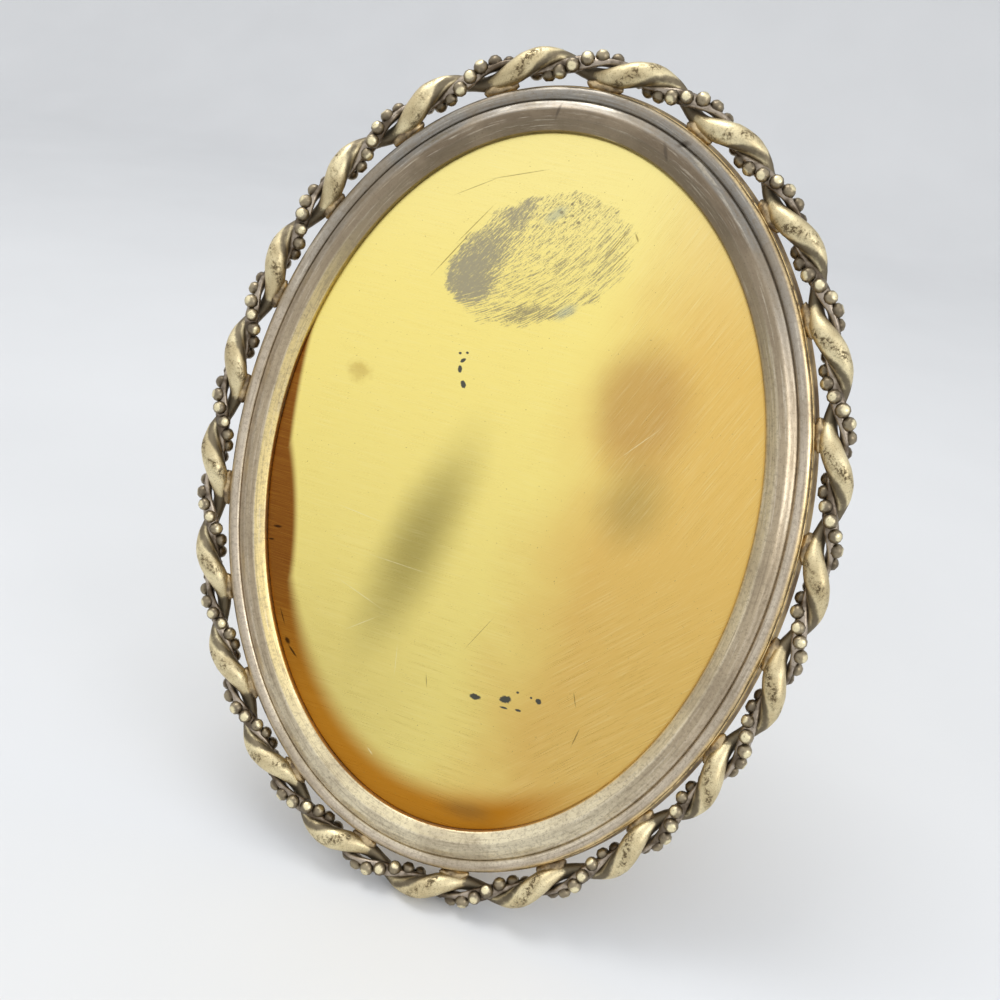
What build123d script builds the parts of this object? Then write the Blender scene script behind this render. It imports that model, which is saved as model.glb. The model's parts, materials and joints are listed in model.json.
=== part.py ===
from build123d import *
import os
from math import cos, pi, radians, sin, sqrt

os.makedirs("parts", exist_ok=True)

# Stance: how far the oval leans back from the vertical
lean_angle = 22.0

# Sight opening, the oval that the eye sees through
sight_width = 120.6
sight_height = 171.4

# Front moulding, in section from the sight edge outwards
sight_lip_height = 1.8
bevel_width = 2.3
bevel_rise = 1.5
flat_width = 2.7
flat_rise = 0.2
scoop_width = 2.0
scoop_drop = 2.3
scoop_sag = 0.5
bead_width = 3.2
bead_rise = 1.3
bead_flats = 5
moulding_clearance = 0.1

# Back band, the brass channel behind the moulding
flange_thickness = 3.4
rabbet_width = 3.7
band_wall = 0.5
band_lip_drop = 0.5
band_flare = 1.4
band_flare_height = 2.5

# Rope border, one smooth and one beaded strand wound on each other
rope_gap = 0.3
rope_height = 3.5
strand_dia = 5.5
strand_twist_radius = 1.9
bead_dia = 3.1
bead_neck_dia = 1.8
strand_clearance = 0.06
turn_count = 21
first_lobe_share = 0.64
strand_sides = 8
strand_steps = 6
bead_count = 179
bead_sides = 5
bead_shoulder_share = 0.25

# Solder webs that hold the rope to the band
lug_length = 4.2
lug_height = 1.3
lug_drop = 0.3
lug_clearance = 0.03

# Backing pan, the gilt plate with its turned rim
pan_sheet = 0.8
pan_rim_wall = 0.9
pan_edge_clearance = 0.4
pan_field_rise = 0.4
pan_field_clearance = 0.3

# Turn buttons that keep the pan in, and their rivets
button_count = 4
button_first_angle = 45.0
button_thickness = 1.0
button_heel_radius = 3.0
button_tip_radius = 2.0
button_reach = 8.6
button_clearance = 0.05
button_lip_width = 2.6
button_lip_height = 0.7
button_lip_sheet = 0.8
rivet_dia = 2.4
rivet_depth = 1.6
rivet_head_dia = 4.6
rivet_head_height = 0.9
rivet_fit = 0.02

# Strut bracket, soldered to the back of the pan
hinge_above_centre = 24.0
bracket_width = 25.0
bracket_height = 19.0
bracket_sheet = 1.0
bracket_corner_radius = 3.0
ear_sheet = 1.4
ear_span = 20.0
ear_radius = 2.6
ear_root_width = 9.0
pin_standoff = 3.4
pin_dia = 2.0
pin_fit = 0.05
pin_head_dia = 3.4
pin_head_height = 0.7

# Strut, the leaf that the oval leans on
strut_opening = 42.0
strut_sheet = 1.5
knuckle_dia = 4.4
knuckle_side_clearance = 0.25
heel_width = 11.0
heel_clearance = 0.1
shoulder_drop = 7.0
foot_width = 40.0
foot_arch_rise = 3.5
foot_toe_width = 6.0
rib_width = 4.0
rib_height = 0.7
rib_top_drop = 14.0
rib_foot_margin = 14.0

# Working values
overrun = 1.0
axis_samples = 1440
half_width = sight_width / 2
half_height = sight_height / 2
flat_edge = bevel_width + flat_width
bead_edge = flat_edge + scoop_width
moulding_width = bead_edge + bead_width
band_inside = moulding_width + moulding_clearance
band_width = band_inside + band_wall
lip_top = flange_thickness + sight_lip_height
bevel_top = lip_top + bevel_rise
flat_top = bevel_top + flat_rise
bead_foot = flat_top - scoop_drop
band_top = bead_foot - band_lip_drop
strand_reach = strand_dia / 2 + strand_twist_radius
rope_offset = band_width + rope_gap + strand_reach
bead_twist_radius = strand_dia / 2 + bead_dia / 2 + strand_clearance - strand_twist_radius

# The face plane: x to the right, y up the oval, z towards the viewer, zero at the band's back
FACE = Plane(
    origin=(0, 0, 0),
    x_dir=(1, 0, 0),
    z_dir=(0, -cos(radians(lean_angle)), sin(radians(lean_angle))),
)


def oval_point(angle, offset):
    """A point at an angle clockwise from the top, a distance outside the sight edge."""
    across = sin(angle) / half_width
    along = cos(angle) / half_height
    length = sqrt(across**2 + along**2)
    normal = Vector(across / length, along / length, 0)
    return Vector(half_width * sin(angle), half_height * cos(angle), 0) + normal * offset


def oval_normal(angle):
    """The outward direction of the oval at an angle clockwise from the top."""
    return (oval_point(angle, overrun) - oval_point(angle, 0)).normalized()


def walk_rope_axis():
    """The length along the rope's axis at evenly spaced angles round the oval."""
    lengths = [0.0]
    for i in range(axis_samples):
        start = oval_point(2 * pi * i / axis_samples, rope_offset)
        end = oval_point(2 * pi * (i + 1) / axis_samples, rope_offset)
        lengths.append(lengths[-1] + (end - start).length)
    return lengths


rope_lengths = walk_rope_axis()
rope_length = rope_lengths[-1]
rope_pitch = rope_length / turn_count


def rope_angle(length):
    """The angle round the oval at a length along the rope's axis."""
    length = length % rope_length
    low, high = 0, axis_samples
    while high - low > 1:
        middle = (low + high) // 2
        if rope_lengths[middle] <= length:
            low = middle
        else:
            high = middle
    share = (length - rope_lengths[low]) / (rope_lengths[high] - rope_lengths[low])
    return 2 * pi * (low + share) / axis_samples


def strand_point(length, twist_radius, side):
    """A point on a strand: side is 0 for the smooth one and half a turn for the beaded one."""
    angle = rope_angle(length)
    twist = side - 2 * pi * (length / rope_pitch - first_lobe_share)
    outward = oval_normal(angle) * (twist_radius * cos(twist))
    forward = Vector(0, 0, rope_height + twist_radius * sin(twist))
    return FACE.from_local_coords(oval_point(angle, rope_offset) + outward + forward)


def strand_plane(length, twist_radius, side):
    """The plane square to a strand, turned so that its sides don't twist along it."""
    step = rope_pitch / axis_samples
    before = strand_point(length - step, twist_radius, side)
    after = strand_point(length + step, twist_radius, side)
    tangent = (after - before).normalized()
    upright = FACE.z_dir - tangent * FACE.z_dir.dot(tangent)
    centre = strand_point(length, twist_radius, side)
    return Plane(origin=centre, x_dir=upright, z_dir=tangent)


def loft_strand(sections, side_count):
    """One length of strand through its sections, each a plane and a radius."""
    with BuildPart() as length_of_strand:
        for plane, radius in sections:
            with BuildSketch(plane):
                RegularPolygon(radius=radius, side_count=side_count)
        loft(ruled=True)
    return length_of_strand.part


def close_strand(sections, side_count):
    """A strand right round the oval, from two halves that join end to end."""
    middle = len(sections) // 2
    with BuildPart() as strand:
        add(loft_strand(sections[: middle + 1], side_count))
        add(loft_strand(sections[middle:], side_count))
    return strand


def bead_sections(length):
    """A bead's three sections: the neck before it, and a shoulder each side of its middle."""
    neck = strand_plane(length, bead_twist_radius, pi)
    middle = strand_plane(length + bead_pitch / 2, bead_twist_radius, pi)
    shoulder = bead_spacing * bead_shoulder_share
    return [
        (neck, bead_neck_dia / 2),
        (middle.offset(-shoulder), bead_dia / 2),
        (middle.offset(shoulder), bead_dia / 2),
    ]


# Sections are drawn at the right hand end of the oval: x outwards, y towards the viewer
SECTION = Plane(
    origin=FACE.from_local_coords((half_width, 0, 0)),
    x_dir=FACE.x_dir,
    z_dir=-FACE.y_dir,
)

with BuildLine(FACE) as sight_oval:
    EllipticalCenterArc((0, 0), half_width, half_height, 0, arc_size=360)


def half_round(middle, foot):
    """The bead's points in section, from its inner foot over its crown to its outer foot."""
    points = []
    for i in range(bead_flats + 1):
        turn = pi * i / bead_flats
        points.append((middle - bead_width / 2 * cos(turn), foot + bead_rise * sin(turn)))
    return points


# Front moulding: sight edge, bevel, flat, hollow scoop and half round bead, cut flat at its seat
scoop_middle = (flat_edge + bead_edge) / 2
scoop_low = (flat_top + bead_foot) / 2 - scoop_sag
with BuildPart() as front_moulding:
    with BuildSketch(SECTION):
        with BuildLine():
            Polyline(
                (0, flange_thickness - overrun),
                (0, lip_top),
                (bevel_width, bevel_top),
                (flat_edge, flat_top),
                (scoop_middle, scoop_low),
                *half_round((bead_edge + moulding_width) / 2, bead_foot),
                (moulding_width, flange_thickness - overrun),
                close=True,
            )
        make_face()
    sweep(path=sight_oval.line)
    split(bisect_by=FACE.offset(flange_thickness), keep=Keep.TOP)

front_moulding.part.label = "front_moulding"

# Places of the turn buttons on the back of the flange: x inwards, z away from the viewer
button_offset = (rabbet_width + band_inside) / 2
button_planes = []
for i in range(button_count):
    angle = radians(button_first_angle) + 2 * pi * i / button_count
    place = FACE.from_local_coords(oval_point(angle, button_offset))
    inwards = FACE.origin - FACE.from_local_coords(oval_normal(angle))
    button_planes.append(Plane(origin=place, x_dir=inwards, z_dir=-FACE.z_dir))

# Back band: the flared outer wall round the moulding and the flange that it is seated on
with BuildPart() as back_band:
    with BuildSketch(SECTION):
        with BuildLine():
            Polyline(
                (rabbet_width, -overrun),
                (band_width + band_flare, -overrun),
                (band_width + band_flare, 0),
                (band_width, band_flare_height),
                (band_width, band_top),
                (band_inside, band_top),
                (band_inside, flange_thickness),
                (rabbet_width, flange_thickness),
                close=True,
            )
        make_face()
    sweep(path=sight_oval.line)
    split(bisect_by=FACE, keep=Keep.TOP)
    for plane in button_planes:
        with BuildSketch(plane.offset(-rivet_depth)):
            Circle(rivet_dia / 2 + rivet_fit)
        extrude(amount=rivet_depth + overrun, mode=Mode.SUBTRACT)

back_band.part.label = "back_band"

# Smooth strand: a faceted tube that winds once for each lobe
smooth_sections = []
for i in range(turn_count * strand_steps + 1):
    plane = strand_plane(rope_pitch * i / strand_steps, strand_twist_radius, 0)
    smooth_sections.append((plane, strand_dia / 2))
smooth_strand = close_strand(smooth_sections, strand_sides)
smooth_strand.part.label = "smooth_strand"

# Beaded wire: a row of beads on one wire, half a turn from the smooth strand
bead_pitch = rope_length / bead_count
wire_turn = sqrt(rope_pitch**2 + (2 * pi * bead_twist_radius) ** 2)
bead_spacing = wire_turn * turn_count / bead_count
wire_sections = []
for i in range(bead_count):
    wire_sections.extend(bead_sections(bead_pitch * i))
wire_sections.append(wire_sections[0])
beaded_wire = close_strand(wire_sections, bead_sides)
beaded_wire.part.label = "beaded_wire"

# Solder webs: one where the smooth strand comes nearest to the band in each turn
with BuildPart() as solder_lugs:
    for i in range(turn_count):
        angle = rope_angle(rope_pitch * (i + first_lobe_share + 0.5))
        seat = Vector(0, 0, rope_height - lug_drop)
        place = FACE.from_local_coords(oval_point(angle, band_width + lug_clearance) + seat)
        outwards = FACE.from_local_coords(oval_normal(angle)) - FACE.origin
        lug_plane = Plane(origin=place, x_dir=FACE.z_dir.cross(outwards), z_dir=outwards)
        with BuildSketch(lug_plane):
            Rectangle(lug_length, lug_height)
        extrude(amount=rope_gap - 2 * lug_clearance)

solder_lugs.part.label = "solder_lugs"

# Backing pan: the gilt plate whose raised field shows in front, its rim turned back to the buttons
pan_half_width = half_width + rabbet_width - pan_edge_clearance
pan_half_height = half_height + rabbet_width - pan_edge_clearance
with BuildPart() as backing_pan:
    with BuildSketch(FACE):
        Ellipse(pan_half_width, pan_half_height)
    extrude(amount=flange_thickness)
    with BuildSketch(FACE.offset(flange_thickness)):
        Ellipse(half_width - pan_field_clearance, half_height - pan_field_clearance)
    extrude(amount=pan_field_rise)
    with BuildSketch(FACE):
        Ellipse(pan_half_width - pan_rim_wall, pan_half_height - pan_rim_wall)
    extrude(amount=flange_thickness - pan_sheet, mode=Mode.SUBTRACT)

backing_pan.part.label = "backing_pan"

# Turn buttons: each swings on its rivet to let the pan out
turn_buttons = []
for i, plane in enumerate(button_planes):
    name = f"turn_button_{i + 1}"
    with BuildPart() as turn_button:
        with BuildSketch(plane.offset(button_clearance)):
            Circle(button_heel_radius)
            with Locations((button_reach, 0)):
                Circle(button_tip_radius)
            make_hull()
            Circle(rivet_dia / 2 + pin_fit, mode=Mode.SUBTRACT)
        extrude(amount=button_thickness)
        with BuildSketch(plane.offset(button_clearance + button_thickness)):
            with Locations((button_reach, 0)):
                Rectangle(button_lip_sheet, button_lip_width)
        extrude(amount=button_lip_height)
    turn_button.part.label = name
    turn_buttons.append(turn_button)

# Button rivets: a shank in the flange and a low round head behind each button
head_seat = button_thickness + 2 * button_clearance
with BuildPart() as button_rivets:
    for plane in button_planes:
        with BuildSketch(plane.offset(-rivet_depth)):
            Circle(rivet_dia / 2)
        extrude(amount=rivet_depth + head_seat + rivet_head_height / 2)
        with BuildSketch(plane.offset(head_seat)):
            Circle(rivet_head_dia / 2)
        extrude(amount=rivet_head_height)

button_rivets.part.label = "button_rivets"

# The hinge line, along x behind the pan
pan_back = flange_thickness - pan_sheet
bracket_back = pan_back - bracket_sheet
pin_height = bracket_back - pin_standoff
pin_centre = FACE.from_local_coords((0, hinge_above_centre, pin_height))
HINGE = Plane(origin=pin_centre, x_dir=FACE.y_dir, z_dir=FACE.x_dir)

# Strut bracket: a base on the pan and two ears that hold the pin
with BuildPart() as strut_bracket:
    with BuildSketch(FACE.offset(bracket_back)):
        with Locations((0, hinge_above_centre)):
            RectangleRounded(bracket_width, bracket_height, bracket_corner_radius)
    extrude(amount=bracket_sheet)
    for side in (-1, 1):
        ear_plane = HINGE.offset(side * (ear_span - ear_sheet) / 2)
        with BuildSketch(ear_plane):
            Circle(ear_radius)
            with Locations((0, pin_standoff)):
                Rectangle(ear_root_width, ear_sheet, align=(Align.CENTER, Align.MAX))
            make_hull()
        extrude(amount=ear_sheet / 2, both=True)
    with BuildSketch(HINGE):
        Circle(pin_dia / 2 + pin_fit)
    extrude(amount=ear_span / 2 + overrun, both=True, mode=Mode.SUBTRACT)

strut_bracket.part.label = "strut_bracket"

# Hinge pin: a plain shaft with a low head at each end
with BuildPart() as hinge_pin:
    with BuildSketch(HINGE):
        Circle(pin_dia / 2)
    extrude(amount=ear_span / 2 + pin_fit + pin_head_height / 2, both=True)
    for side in (-1, 1):
        head_plane = Plane(origin=HINGE.origin, x_dir=HINGE.x_dir, z_dir=HINGE.z_dir * side)
        with BuildSketch(head_plane.offset(ear_span / 2 + pin_fit)):
            Circle(pin_head_dia / 2)
        extrude(amount=pin_head_height)

hinge_pin.part.label = "hinge_pin"

# The floor is level with the lowest point of the rope border
floor_height = min(strand.part.bounding_box().min.Z for strand in (smooth_strand, beaded_wire))

# Strut: a tapered leaf whose heel stops on the bracket when its foot is out
opening = radians(strut_opening)
LEAF = Plane(
    origin=pin_centre,
    x_dir=FACE.x_dir,
    z_dir=FACE.z_dir * cos(opening) - FACE.y_dir * sin(opening),
)
knuckle_half = ear_span / 2 - ear_sheet - knuckle_side_clearance
leaf_slope = opening - radians(lean_angle)
leaf_reach = (pin_centre.Z - floor_height) / cos(leaf_slope)
heel_reach = (pin_standoff - heel_clearance - strut_sheet / 2 * cos(opening)) / sin(opening)
with BuildPart() as strut:
    with BuildSketch(LEAF):
        with BuildLine():
            Polyline(
                (-heel_width / 2, heel_reach),
                (heel_width / 2, heel_reach),
                (heel_width / 2, 0),
                (knuckle_half, 0),
                (knuckle_half, -shoulder_drop),
                (foot_width / 2, -leaf_reach - overrun),
                (-foot_width / 2, -leaf_reach - overrun),
                (-knuckle_half, -shoulder_drop),
                (-knuckle_half, 0),
                (-heel_width / 2, 0),
                close=True,
            )
        make_face()
        with BuildLine():
            arch = ThreePointArc(
                (-foot_width / 2 + foot_toe_width, -leaf_reach - overrun),
                (0, -leaf_reach + foot_arch_rise),
                (foot_width / 2 - foot_toe_width, -leaf_reach - overrun),
            )
            Line(arch @ 0, arch @ 1)
        make_face(mode=Mode.SUBTRACT)
    extrude(amount=strut_sheet / 2, both=True)
    split(bisect_by=Plane.XY.offset(floor_height), keep=Keep.TOP)
    with BuildSketch(HINGE):
        Circle(knuckle_dia / 2)
    extrude(amount=knuckle_half, both=True)
    with BuildSketch(HINGE):
        Circle(pin_dia / 2 + pin_fit)
    extrude(amount=knuckle_half + overrun, both=True, mode=Mode.SUBTRACT)
    rib_length = leaf_reach - rib_top_drop - rib_foot_margin
    with BuildSketch(LEAF.offset(-strut_sheet / 2 - rib_height)):
        with Locations((0, -rib_top_drop - rib_length / 2)):
            SlotOverall(rib_length, rib_width, rotation=90)
    extrude(amount=rib_height)

strut.part.label = "strut"

# Stand the whole frame on its origin, the middle of its footprint, and write the pieces
pieces = [
    front_moulding,
    back_band,
    smooth_strand,
    beaded_wire,
    solder_lugs,
    backing_pan,
    *turn_buttons,
    button_rivets,
    strut_bracket,
    hinge_pin,
    strut,
]
whole = pieces[0].part.bounding_box()
for piece in pieces:
    whole = whole.add(piece.part.bounding_box())
shift = Vector(-whole.center().X, -whole.center().Y, -whole.min.Z)
for piece in pieces:
    label = piece.part.label
    placed = piece.part.moved(Location(shift))
    placed.label = label
    export_step(placed, f"parts/{label}.step")

# Places that the joints, mounts and openings are stated at
print("overall size", whole.size)
print("hinge line", pin_centre + shift)
print("face plane", FACE.origin + shift, "normal", FACE.z_dir, "up", FACE.y_dir)
for plane in button_planes:
    print("button pivot", plane.origin + shift)
print("pitch", rope_pitch, "bead spacing", bead_spacing)
print("leaf reach", leaf_reach, "heel reach", heel_reach)
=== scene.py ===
# %% [markdown]
# A standing oval picture frame: a silvered moulding round a gilt plate, a brass band behind it, and
# a border of two strands wound on each other, one smooth and one beaded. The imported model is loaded
# first and stays fixed, because every piece made here has to sit exactly where its solid sits.

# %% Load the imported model
import json
import math
import random

import bmesh
import bpy
from mathutils import Matrix, Vector, noise


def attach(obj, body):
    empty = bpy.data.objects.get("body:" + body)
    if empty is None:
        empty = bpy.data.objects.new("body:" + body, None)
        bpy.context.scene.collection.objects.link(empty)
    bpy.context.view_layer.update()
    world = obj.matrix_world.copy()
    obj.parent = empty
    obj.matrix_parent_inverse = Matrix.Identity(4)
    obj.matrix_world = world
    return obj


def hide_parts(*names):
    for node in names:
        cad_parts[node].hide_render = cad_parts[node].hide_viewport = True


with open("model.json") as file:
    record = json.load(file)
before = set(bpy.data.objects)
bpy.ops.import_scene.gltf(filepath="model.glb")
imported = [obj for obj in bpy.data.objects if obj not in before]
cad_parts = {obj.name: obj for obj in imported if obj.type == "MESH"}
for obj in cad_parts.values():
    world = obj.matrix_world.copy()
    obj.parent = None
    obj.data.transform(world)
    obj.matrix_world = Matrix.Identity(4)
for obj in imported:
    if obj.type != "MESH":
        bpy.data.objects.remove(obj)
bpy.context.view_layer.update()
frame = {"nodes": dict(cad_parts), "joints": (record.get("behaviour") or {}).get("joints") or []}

# %% [markdown]
# Everything on the front lies on one leaning plane, so the pieces are drawn flat on that plane, in
# millimetres, and carried to the frame at the end by one matrix. The plane is read from the four
# turn buttons: their axes stand square to it, and their pivots lie evenly round its middle.

# %% The leaning face plane
mm = 0.001
button_count = 4
swings = [joint for joint in frame["joints"] if joint["name"].startswith("turn_button")]
face_normal = Vector(swings[0]["axis"]).normalized()
face_right = Vector((1, 0, 0))
face_up = face_normal.cross(face_right)
face_middle = sum((Vector(joint["pos_m"]) for joint in swings), Vector()) / len(swings)
face_turn = Matrix((face_right, face_up, face_normal)).transposed()
to_frame = Matrix.Translation(face_middle) @ face_turn.to_4x4() @ Matrix.Scale(mm, 4)
print("face plane through", face_middle, "leaning", math.degrees(math.asin(face_normal.z)))

# %% [markdown]
# The oval that the eye sees through is a true ellipse, and every ring round it keeps one distance
# from it. One function gives a point at an angle, a distance outside the sight edge and a height
# above the band's back, and all the rings and both strands are drawn with it.

# %% Points round the oval
sight_width = 120.6
sight_height = 171.4
half_width = sight_width / 2
half_height = sight_height / 2


def oval_normal(angle):
    """The outward direction at an angle clockwise from the top."""
    return Vector((math.sin(angle) / half_width, math.cos(angle) / half_height, 0)).normalized()


def oval_point(angle, offset, height=0):
    """A point a distance outside the sight edge and a height above the band's back."""
    edge = Vector((half_width * math.sin(angle), half_height * math.cos(angle), height))
    return edge + oval_normal(angle) * offset


# %% [markdown]
# A finish is a small graph of nodes that ends in one shader. The first helpers add a node, fill its
# sockets with numbers or with other nodes' results, and take one step of arithmetic. With them a
# finish reads like a list of what lies on the metal.

# %% Nodes and arithmetic
def plug(finish, socket, value):
    """Fills a socket with a number, a colour or another node's result."""
    if isinstance(value, bpy.types.NodeSocket):
        finish.node_tree.links.new(value, socket)
    elif isinstance(value, (tuple, list)) and len(value) == 3 and socket.type == "RGBA":
        socket.default_value = (*value, 1)
    else:
        socket.default_value = value


def node(finish, kind, settings=(), values=()):
    """Adds a node with its settings and the values of its sockets."""
    made = finish.node_tree.nodes.new("ShaderNode" + kind)
    for field, value in dict(settings).items():
        setattr(made, field, value)
    for label, value in dict(values).items():
        plug(finish, made.inputs[label], value)
    return made


def math_step(finish, way, *results):
    """One kind of arithmetic, taken along a row of results."""
    total = results[0]
    for result in results[1:]:
        made = node(finish, "Math", {"operation": way})
        plug(finish, made.inputs[0], total)
        plug(finish, made.inputs[1], result)
        total = made.outputs[0]
    return total


def share_of(finish, *factors):
    """The product of several shares."""
    return math_step(finish, "MULTIPLY", *factors)


def added(finish, *parts):
    """The sum of several results."""
    return math_step(finish, "ADD", *parts)


def less(finish, first, second):
    """What is left of one result without another."""
    return math_step(finish, "SUBTRACT", first, second)


def largest(finish, *results):
    """The largest of several results."""
    return math_step(finish, "MAXIMUM", *results)


def mixed(finish, share, first, second):
    """A colour between two, by a share."""
    made = node(finish, "Mix", {"data_type": "RGBA"})
    plug(finish, made.inputs[0], share)
    plug(finish, made.inputs[6], first)
    plug(finish, made.inputs[7], second)
    return made.outputs[2]


def eased(finish, value, low, high, start=0.0, end=1.0):
    """Turns a stretch of one result into a soft step from start to end."""
    made = node(
        finish,
        "MapRange",
        {"interpolation_type": "SMOOTHSTEP"},
        {"Value": value, "From Min": low, "From Max": high, "To Min": start, "To Max": end},
    )
    return made.outputs[0]


# %% [markdown]
# Every mark lies in a place that the piece carries with it, so that nothing swims when a joint
# moves: the frame's own metres, the leaning face in millimetres, or values stored at the mesh's
# points. The face is flat, so a height above it is divided away when a mark is measured.

# %% Places on a piece
flattening = 1000.0


def attribute(finish, name, output="Fac"):
    """A value that the mesh carries at its points."""
    return node(finish, "Attribute", {"attribute_name": name}).outputs[output]


def object_place(finish):
    """Places in the frame's own metres."""
    return node(finish, "TexCoord").outputs["Object"]


def face_place(finish):
    """Places in millimetres on the leaning face: x to the right, y up, z towards the viewer."""
    values = {
        "Vector": object_place(finish),
        "Location": face_middle,
        "Rotation": face_turn.to_euler(),
        "Scale": (mm, mm, mm),
    }
    return node(finish, "Mapping", {"vector_type": "TEXTURE"}, values).outputs[0]


def turned(finish, place, centre=(0, 0), size=(1, 1), degrees=0.0):
    """Places measured from a centre, along and across a direction, in shares of a size."""
    values = {
        "Vector": place,
        "Location": (*centre, 0),
        "Rotation": (0, 0, math.radians(degrees)),
        "Scale": (*size, flattening),
    }
    return node(finish, "Mapping", {"vector_type": "TEXTURE"}, values).outputs[0]


def flat_length(finish, place):
    """The distance from the middle of a flat pattern."""
    flat = node(finish, "VectorMath", {"operation": "MULTIPLY"}, {0: place, 1: (1, 1, 0)}).outputs[0]
    return node(finish, "VectorMath", {"operation": "LENGTH"}, {0: flat}).outputs["Value"]


# %% [markdown]
# Wear is made of two things: noise, and soft ovals whose edges noise makes ragged. A scratch is an
# oval drawn out very thin.

# %% Noise and marks
def grain(finish, place, scale, detail=3.0, rough=0.55):
    """Soft noise between 0 and 1."""
    values = {"Vector": place, "Scale": scale, "Detail": detail, "Roughness": rough}
    return node(finish, "TexNoise", (), values).outputs["Fac"]


def wandering(finish, place, scale):
    """Noise about zero, which gives the edge of a mark its ragged line."""
    return less(finish, grain(finish, place, scale, 4.0, 0.6), 0.5)


def patch(finish, place, centre, size, degrees=0.0, soft=0.5, ragged=0.0, wander=None):
    """A soft oval mark: 1 in its middle, 0 outside it."""
    place = turned(finish, place, centre, size, degrees)
    reach = node(finish, "VectorMath", {"operation": "LENGTH"}, {0: place}).outputs["Value"]
    if ragged:
        reach = added(finish, reach, share_of(finish, wander, ragged))
    return eased(finish, reach, 1.0, 1.0 - soft)


# %% [markdown]
# Every finish here is a metal but the ground's. Its finest marks also stand as relief, because
# light catches on a scratch as much as colour does.

# %% The ends of a finish
def start_finish(name, metallic=1.0):
    """A new material and its shader."""
    finish = bpy.data.materials.new(name)
    finish.use_nodes = True
    shader = finish.node_tree.nodes["Principled BSDF"]
    shader.inputs["Metallic"].default_value = metallic
    return finish, shader


def relief(finish, shader, height, depth, strength=1.0):
    """Lets a result stand as fine relief, depth in millimetres."""
    values = {"Strength": strength, "Distance": depth * mm, "Height": height}
    bump = node(finish, "Bump", (), values)
    plug(finish, shader.inputs["Normal"], bump.outputs[0])


# %% [markdown]
# The moulding is silver plate over brass, rolled to its section and then bent round the oval. Fine
# lines run along it, tarnish lies in its hollow, and the brass comes through on the worn edge. Its
# tones are given across the section, from the lip to the rim, and three marks lie on its seams.

# %% Tones and marks of the moulding
moulding_width = 10.3
# The lighter stop at 0.50, on the flat's outer edge, is a painted highlight.
moulding_tones = [
    (0.00, (0.72, 0.58, 0.30)),
    (0.05, (0.60, 0.49, 0.29)),
    (0.20, (0.68, 0.57, 0.36)),
    (0.24, (0.76, 0.65, 0.45)),
    (0.28, (0.46, 0.37, 0.25)),
    (0.46, (0.54, 0.44, 0.30)),
    (0.50, (0.60, 0.50, 0.36)),
    (0.56, (0.54, 0.44, 0.31)),
    (0.66, (0.56, 0.47, 0.34)),
    (0.74, (0.66, 0.57, 0.44)),
    (0.84, (0.62, 0.53, 0.41)),
    (0.92, (0.54, 0.43, 0.28)),
    (1.00, (0.62, 0.47, 0.25)),
]
seam_marks = [
    ((-5.5, 89.5), (0.5, 2.6), -10),
    ((21.0, 84.0), (0.6, 2.8), 20),
    ((24.5, 86.5), (2.2, 1.0), 20),
]


def tone_ramp(finish, share, tones):
    """A colour that goes through a row of tones."""
    made = node(finish, "ValToRGB", (), {"Fac": share})
    ramp = made.color_ramp
    for spare in range(len(tones) - 2):
        ramp.elements.new(0.5)
    for element, (position, colour) in zip(ramp.elements, tones):
        element.position = position
        element.color = (*colour, 1)
    return made.outputs[0]


# %% [markdown]
# The ring isn't coloured alike all round. Painted shade darkens it at the top, a painted reflection
# of the gilt plate makes its bevel pale gold at the left, a painted highlight makes its inner half
# creamy at the foot, and hands have rubbed the rim to gold at the right.

# %% Wear, painted shade and painted light round the moulding
def plated_tones_shade_and_light(finish, across):
    """The section's tones, with painted shade, reflection and highlight by place on the oval."""
    tint = tone_ramp(finish, math_step(finish, "DIVIDE", across, moulding_width), moulding_tones)
    face = node(finish, "SeparateXYZ", (), {"Vector": face_place(finish)})
    right, high = face.outputs[0], face.outputs[1]
    # Painted shade: the ring darkens towards the top.
    top = eased(finish, high, 15.0, 75.0, 0.0, 0.88)
    outer = eased(finish, across, 4.2, 5.2)
    tint = mixed(finish, top, tint, mixed(finish, outer, (0.145, 0.110, 0.075), (0.26, 0.25, 0.23)))
    # Painted reflection: the gilt plate's gold on the bevel at the left.
    inner = eased(finish, across, 2.6, 2.2)
    left = eased(finish, added(finish, right, share_of(finish, high, 0.5)), -15, -55)
    tint = mixed(finish, share_of(finish, inner, left, 0.85), tint, (0.80, 0.64, 0.28))
    # Painted highlight: a creamy light on the inner half at the foot.
    low = eased(finish, high, -45.0, -85.0)
    near = eased(finish, across, 9.0, 5.5)
    tint = mixed(finish, share_of(finish, low, near, 0.7), tint, (0.86, 0.78, 0.56))
    gold = share_of(finish, eased(finish, across, 9.0, 9.7), eased(finish, right, 0.0, 45.0))
    return mixed(finish, gold, tint, (0.86, 0.66, 0.35))


# %% [markdown]
# The fine pattern has to follow the ring, so the mesh carries two attributes: how far a point is
# across the section, and a place round the ring that closes on itself.

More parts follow.
